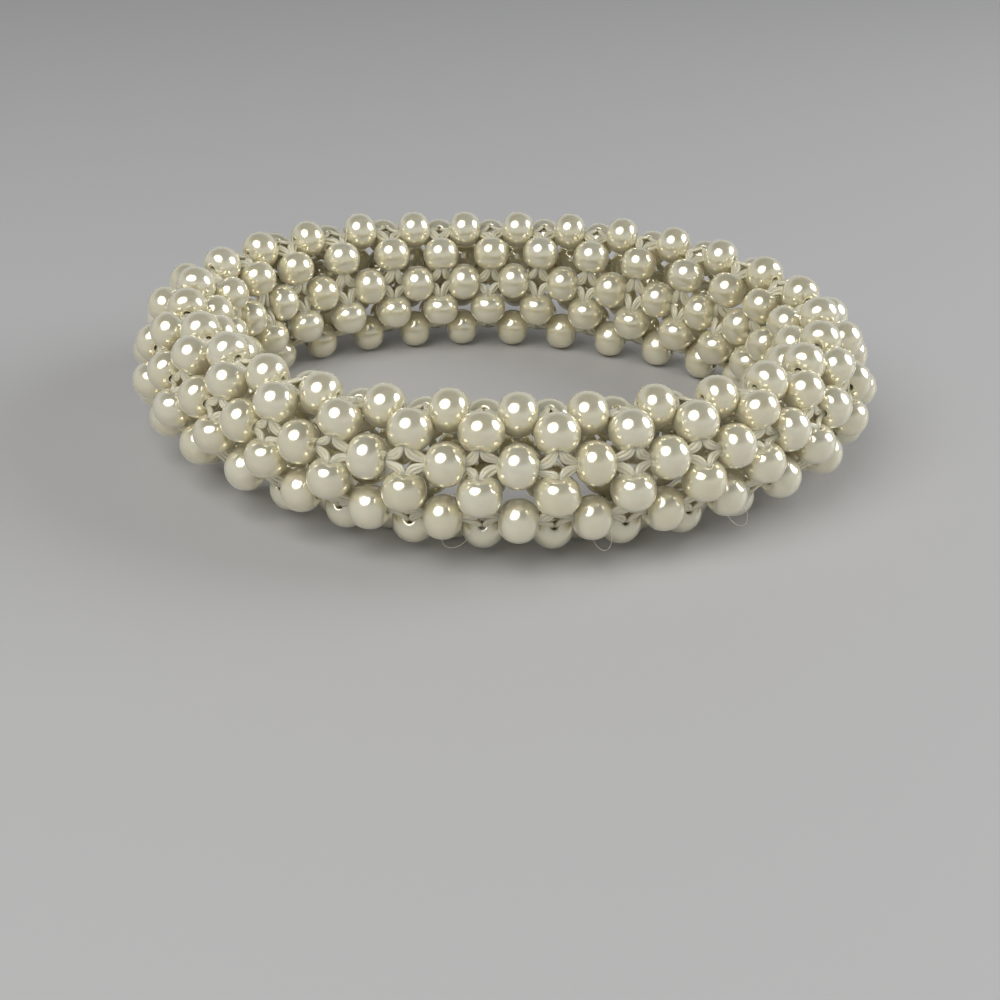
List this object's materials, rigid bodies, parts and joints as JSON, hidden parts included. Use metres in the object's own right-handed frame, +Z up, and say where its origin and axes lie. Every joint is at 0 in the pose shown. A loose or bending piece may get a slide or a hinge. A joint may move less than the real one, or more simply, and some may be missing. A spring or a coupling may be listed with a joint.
{
  "type": "pearl bracelet",
  "caption": "Closed pearl bracelet: a hollow tube of pearls in right-angle weave, bent into an oval loop that slips over the hand.",
  "frame": {"origin": "on the floor, under the middle of the bracelet's bounding box", "axes": "+X along the oval's long way, +Y along its short way from the front to the back, +Z up through the hand opening"},
  "size_m": [0.1064, 0.085, 0.0218],
  "materials": {
    "pearl": "glossy imitation pearl, ivory with a pale greenish cream rim, on whitish thread"
  },
  "bodies": {
    "root": {"row_top": "pearl", "row_outer_upper": "pearl", "row_outer_lower": "pearl", "row_inner_lower": "pearl", "row_inner_upper": "pearl", "round_01": "pearl", "round_02": "pearl", "round_03": "pearl", "round_04": "pearl", "round_05": "pearl", "round_06": "pearl", "round_07": "pearl", "round_08": "pearl", "round_09": "pearl", "round_10": "pearl", "round_11": "pearl", "round_12": "pearl", "round_13": "pearl", "round_14": "pearl", "round_15": "pearl", "round_16": "pearl", "round_17": "pearl", "round_18": "pearl", "round_19": "pearl", "round_20": "pearl", "round_21": "pearl", "round_22": "pearl", "round_23": "pearl", "round_24": "pearl", "round_25": "pearl", "round_26": "pearl", "round_27": "pearl", "round_28": "pearl", "round_29": "pearl"}
  },
  "joints": []
}
